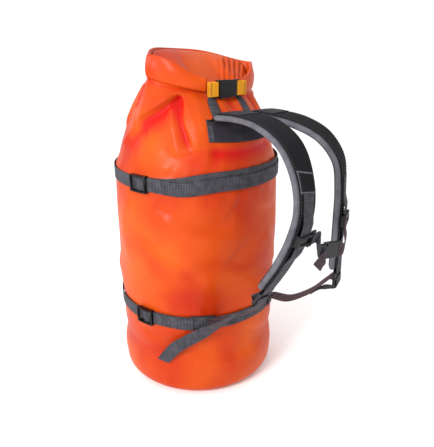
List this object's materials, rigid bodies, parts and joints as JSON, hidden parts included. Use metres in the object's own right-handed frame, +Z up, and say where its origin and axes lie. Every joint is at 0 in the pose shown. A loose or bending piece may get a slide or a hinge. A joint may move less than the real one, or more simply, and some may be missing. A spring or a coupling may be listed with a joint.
{
  "type": "roll-top dry bag",
  "caption": "Roll-top dry bag: soft waterproof tube with a buckled rolled mouth, compression bands, padded pack straps and a sternum strap",
  "frame": {"origin": "centre of the base's resting face", "axes": "+Z up along the bag, -Y towards the harness and closure buckle, +X to the right seen from the harness side"},
  "size_m": [0.3295, 0.5544, 0.6669],
  "materials": {
    "tarpaulin": "satin coated fabric",
    "webbing": "woven webbing",
    "webbing_brown": "woven webbing",
    "yellow_tab": "woven webbing",
    "buckle": "moulded",
    "patch": "plain woven reinforcement",
    "mesh": "spacer mesh",
    "foam_edge": "bound foam edge",
    "stiffener": "plain strip"
  },
  "bodies": {
    "bag": {"bag_tube": "tarpaulin", "base_panel": "tarpaulin", "side_seam_tape": "tarpaulin", "rolled_mouth": "tarpaulin", "mouth_stiffener": "stiffener", "closure_tab_left": "yellow_tab", "closure_tab_right": "yellow_tab", "closure_buckle_socket": "buckle", "haul_loop": "webbing", "harness_patch": "patch", "harness_patch_border": "webbing", "upper_band": "webbing", "upper_band_tail": "webbing", "lower_band": "webbing", "lower_band_tail": "webbing", "band_keeper_left": "patch", "band_keeper_right": "patch", "strap_tongue_left": "mesh", "strap_tongue_right": "mesh", "shoulder_pad_left": "foam_edge", "shoulder_pad_right": "foam_edge", "pad_face_left": "mesh", "pad_face_right": "mesh", "pad_top_patch_left": "patch", "pad_top_patch_right": "patch", "pad_label": "mesh", "pad_webbing_left": "webbing", "pad_webbing_right": "webbing", "sternum_webbing_left": "webbing", "sternum_webbing_right": "webbing_brown", "sternum_buckle_socket": "buckle", "sternum_tail": "webbing_brown", "lower_webbing_left": "webbing_brown", "lower_webbing_right": "webbing_brown", "lower_tail_left": "webbing", "lower_tail_right": "webbing"},
    "closure_plug": {"closure_buckle_plug": "buckle"},
    "closure_prong_top": {"closure_prong_upper": "buckle"},
    "closure_prong_bottom": {"closure_prong_lower": "buckle"},
    "sternum_plug": {"sternum_buckle_plug": "buckle"},
    "sternum_prong_top": {"sternum_prong_upper": "buckle"},
    "sternum_prong_bottom": {"sternum_prong_lower": "buckle"},
    "strap_slider_left": {"sternum_slider_left": "buckle"},
    "strap_slider_right": {"sternum_slider_right": "buckle"},
    "lock_left": {"ladder_lock_left": "buckle"},
    "lock_right": {"ladder_lock_right": "buckle"},
    "band_slider_upper": {"upper_band_slider": "buckle"},
    "band_slider_lower": {"lower_band_slider": "buckle"}
  },
  "joints": [
    {"name": "closure_release", "type": "slide", "parent": "bag", "child": "closure_plug", "axis": [1, 0, 0], "range_m": [0, 0.02], "deforming": ["closure_tab_right"]},
    {"name": "closure_squeeze_top", "type": "hinge", "parent": "closure_plug", "child": "closure_prong_top", "pos_m": [0.003, -0.104, 0.6077], "axis": [0, -1, 0], "range_deg": [0, 12], "stiffness_Nm_per_rad": 0.05},
    {"name": "closure_squeeze_bottom", "type": "hinge", "parent": "closure_plug", "child": "closure_prong_bottom", "pos_m": [0.003, -0.104, 0.5863], "axis": [0, 1, 0], "range_deg": [0, 12], "stiffness_Nm_per_rad": 0.05},
    {"name": "sternum_release", "type": "slide", "parent": "bag", "child": "sternum_plug", "axis": [0.9762, 0.1026, -0.1908], "range_m": [0, 0.016], "deforming": ["sternum_webbing_right"]},
    {"name": "sternum_squeeze_top", "type": "hinge", "parent": "sternum_plug", "child": "sternum_prong_top", "pos_m": [-0.00403, -0.37458, 0.39794], "axis": [0.1045, -0.9945, 0], "range_deg": [0, 12], "stiffness_Nm_per_rad": 0.05},
    {"name": "sternum_squeeze_bottom", "type": "hinge", "parent": "sternum_plug", "child": "sternum_prong_bottom", "pos_m": [-0.00728, -0.37492, 0.38114], "axis": [-0.1045, 0.9945, 0], "range_deg": [0, 12], "stiffness_Nm_per_rad": 0.05},
    {"name": "strap_slider_left_travel", "type": "slide", "parent": "bag", "child": "strap_slider_left", "axis": [-0.1284, 0.2572, -0.9578], "range_m": [-0.008, 0.008], "deforming": ["sternum_webbing_left"]},
    {"name": "strap_slider_right_travel", "type": "slide", "parent": "bag", "child": "strap_slider_right", "axis": [0.1093, 0.0589, -0.9923], "range_m": [-0.008, 0.008], "deforming": ["sternum_webbing_right"]},
    {"name": "lock_left_tilt", "type": "hinge", "parent": "bag", "child": "lock_left", "pos_m": [-0.08143, -0.31908, 0.31851], "axis": [-0.9855, -0.1645, 0.0415], "range_deg": [0, 30], "deforming": ["lower_webbing_left", "lower_tail_left"]},
    {"name": "lock_right_tilt", "type": "hinge", "parent": "bag", "child": "lock_right", "pos_m": [0.08959, -0.30787, 0.30393], "axis": [-0.8914, -0.4181, -0.175], "range_deg": [0, 30], "deforming": ["lower_webbing_right", "lower_tail_right"]},
    {"name": "band_slider_upper_travel", "type": "hinge", "parent": "bag", "child": "band_slider_upper", "pos_m": [0, 0, 0.439], "axis": [0, 0, 1], "range_deg": [-5, 5], "deforming": ["upper_band_tail"]},
    {"name": "band_slider_lower_travel", "type": "hinge", "parent": "bag", "child": "band_slider_lower", "pos_m": [0, 0, 0.172], "axis": [0, 0, 1], "range_deg": [-5, 5], "deforming": ["lower_band_tail"]}
  ],
  "couplings": [
    {"joint": "closure_squeeze_bottom", "follows": "closure_squeeze_top", "ratio": 1},
    {"joint": "sternum_squeeze_bottom", "follows": "sternum_squeeze_top", "ratio": 1}
  ]
}
